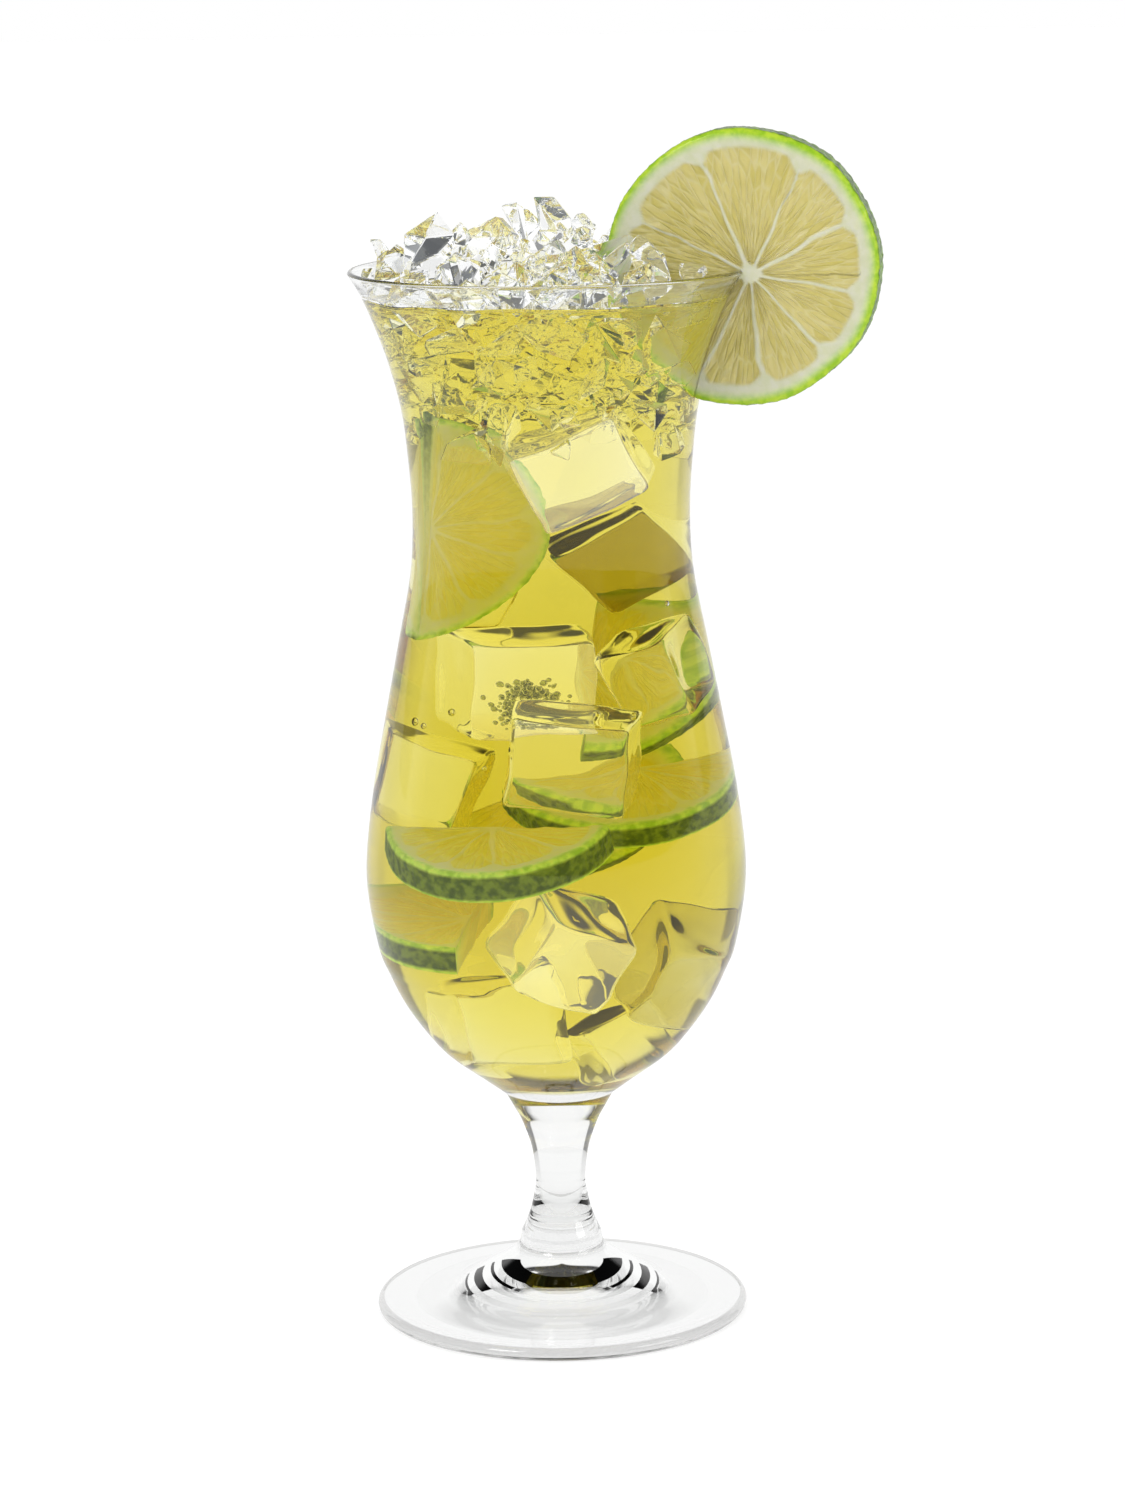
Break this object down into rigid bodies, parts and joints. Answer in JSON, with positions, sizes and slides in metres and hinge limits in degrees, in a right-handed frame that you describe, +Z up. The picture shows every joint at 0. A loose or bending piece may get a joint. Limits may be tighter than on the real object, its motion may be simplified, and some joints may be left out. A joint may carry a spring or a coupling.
{
  "type": "hurricane glass",
  "caption": "Footed, pinch-waisted cocktail glass served with a lime drink, ice cubes, lime slices, a cap of crushed ice and a lime wheel on its rim.",
  "frame": {"origin": "centre of the foot's underside, on the glass axis, at the plane it stands on", "axes": "+Z up along the glass axis, +X to the right as seen from the front, towards the lime wheel, +Y to the back"},
  "size_m": [0.1061, 0.0798, 0.2428],
  "materials": {
    "clear_glass": "polished",
    "lime_drink": "polished",
    "clear_ice": "polished",
    "lime_peel": "satin",
    "lime_pith": "satin",
    "lime_pulp": "satin"
  },
  "bodies": {
    "served_glass": {"bowl": "clear_glass", "crushed_ice_heap": "clear_ice", "crushed_ice_lower": "clear_ice", "crushed_ice_middle": "clear_ice", "crushed_ice_rim": "clear_ice", "drink": "lime_drink", "flare": "clear_glass", "foot": "clear_glass", "ice_cube_back": "clear_ice", "ice_cube_bottom": "clear_ice", "ice_cube_centre": "clear_ice", "ice_cube_left": "clear_ice", "ice_cube_lower_front": "clear_ice", "ice_cube_lower_left": "clear_ice", "ice_cube_lower_right": "clear_ice", "ice_cube_middle_front": "clear_ice", "ice_cube_right": "clear_ice", "ice_cube_top_front": "clear_ice", "ice_cube_waist_back": "clear_ice", "lime_slice_bottom_peel": "lime_peel", "lime_slice_bottom_pith": "lime_pith", "lime_slice_bottom_pulp": "lime_pulp", "lime_slice_left_back_peel": "lime_peel", "lime_slice_left_back_pith": "lime_pith", "lime_slice_left_back_pulp": "lime_pulp", "lime_slice_lower_left_peel": "lime_peel", "lime_slice_lower_left_pith": "lime_pith", "lime_slice_lower_left_pulp": "lime_pulp", "lime_slice_lower_right_peel": "lime_peel", "lime_slice_lower_right_pith": "lime_pith", "lime_slice_lower_right_pulp": "lime_pulp", "lime_slice_right_back_peel": "lime_peel", "lime_slice_right_back_pith": "lime_pith", "lime_slice_right_back_pulp": "lime_pulp", "lime_slice_upper_peel": "lime_peel", "lime_slice_upper_pith": "lime_pith", "lime_slice_upper_pulp": "lime_pulp", "stem": "clear_glass"},
    "lime_wheel": {"lime_wheel_peel": "lime_peel", "lime_wheel_pith": "lime_pith", "lime_wheel_pulp": "lime_pulp"}
  },
  "joints": [
    {"name": "garnish_lift", "type": "slide", "parent": "served_glass", "child": "lime_wheel", "axis": [0.3671, -0.0714, 0.9274], "range_m": [0, 0.03]}
  ]
}
